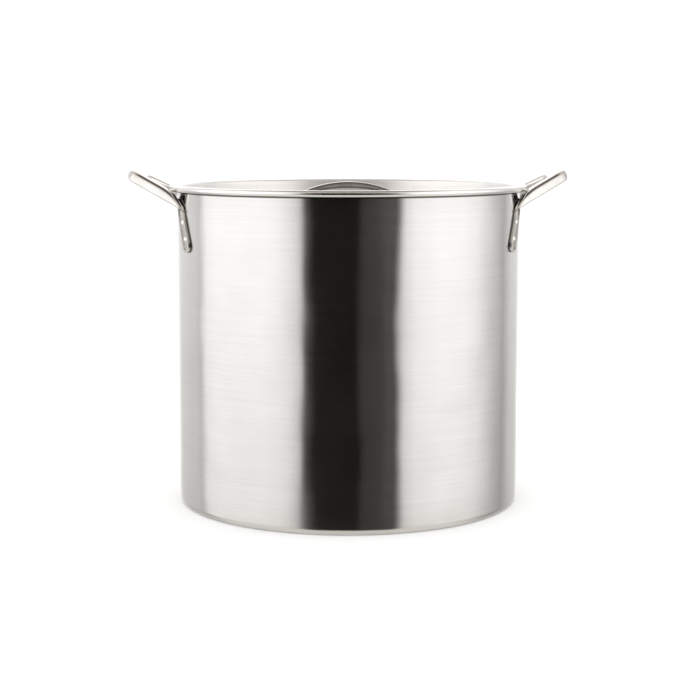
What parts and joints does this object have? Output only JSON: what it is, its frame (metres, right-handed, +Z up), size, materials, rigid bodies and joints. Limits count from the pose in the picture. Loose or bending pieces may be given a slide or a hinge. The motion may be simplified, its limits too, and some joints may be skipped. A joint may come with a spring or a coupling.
{
  "type": "brew kettle",
  "caption": "Straight-sided stainless brew kettle with a rolled rim, a recessed lift-off lid with a bridge handle, and riveted loop handles on both sides.",
  "frame": {"origin": "centre of the flat base, on the surface the kettle stands on", "axes": "+X towards the right-hand side handle, +Y away from the viewer, +Z up along the kettle's axis"},
  "size_m": [0.3856, 0.3174, 0.296],
  "materials": {
    "brushed_shell": "fine circumferential brushing",
    "brushed_lid": "fine circumferential brushing",
    "polished_handle": "tumble polished",
    "rivet": "bright"
  },
  "bodies": {
    "kettle": {"kettle_body": "brushed_shell", "left_handle": "polished_handle", "right_handle": "polished_handle", "left_handle_front_upper_rivet": "rivet", "left_handle_front_lower_rivet": "rivet", "left_handle_back_upper_rivet": "rivet", "left_handle_back_lower_rivet": "rivet", "right_handle_front_upper_rivet": "rivet", "right_handle_front_lower_rivet": "rivet", "right_handle_back_upper_rivet": "rivet", "right_handle_back_lower_rivet": "rivet"},
    "lift_off_lid": {"lid": "brushed_lid", "lid_handle": "polished_handle", "lid_handle_left_front_rivet": "rivet", "lid_handle_left_back_rivet": "rivet", "lid_handle_right_front_rivet": "rivet", "lid_handle_right_back_rivet": "rivet"}
  },
  "joints": [
    {"name": "lid_lift", "type": "slide", "parent": "kettle", "child": "lift_off_lid", "axis": [0, 0, 1], "range_m": [0, 0.25]}
  ]
}
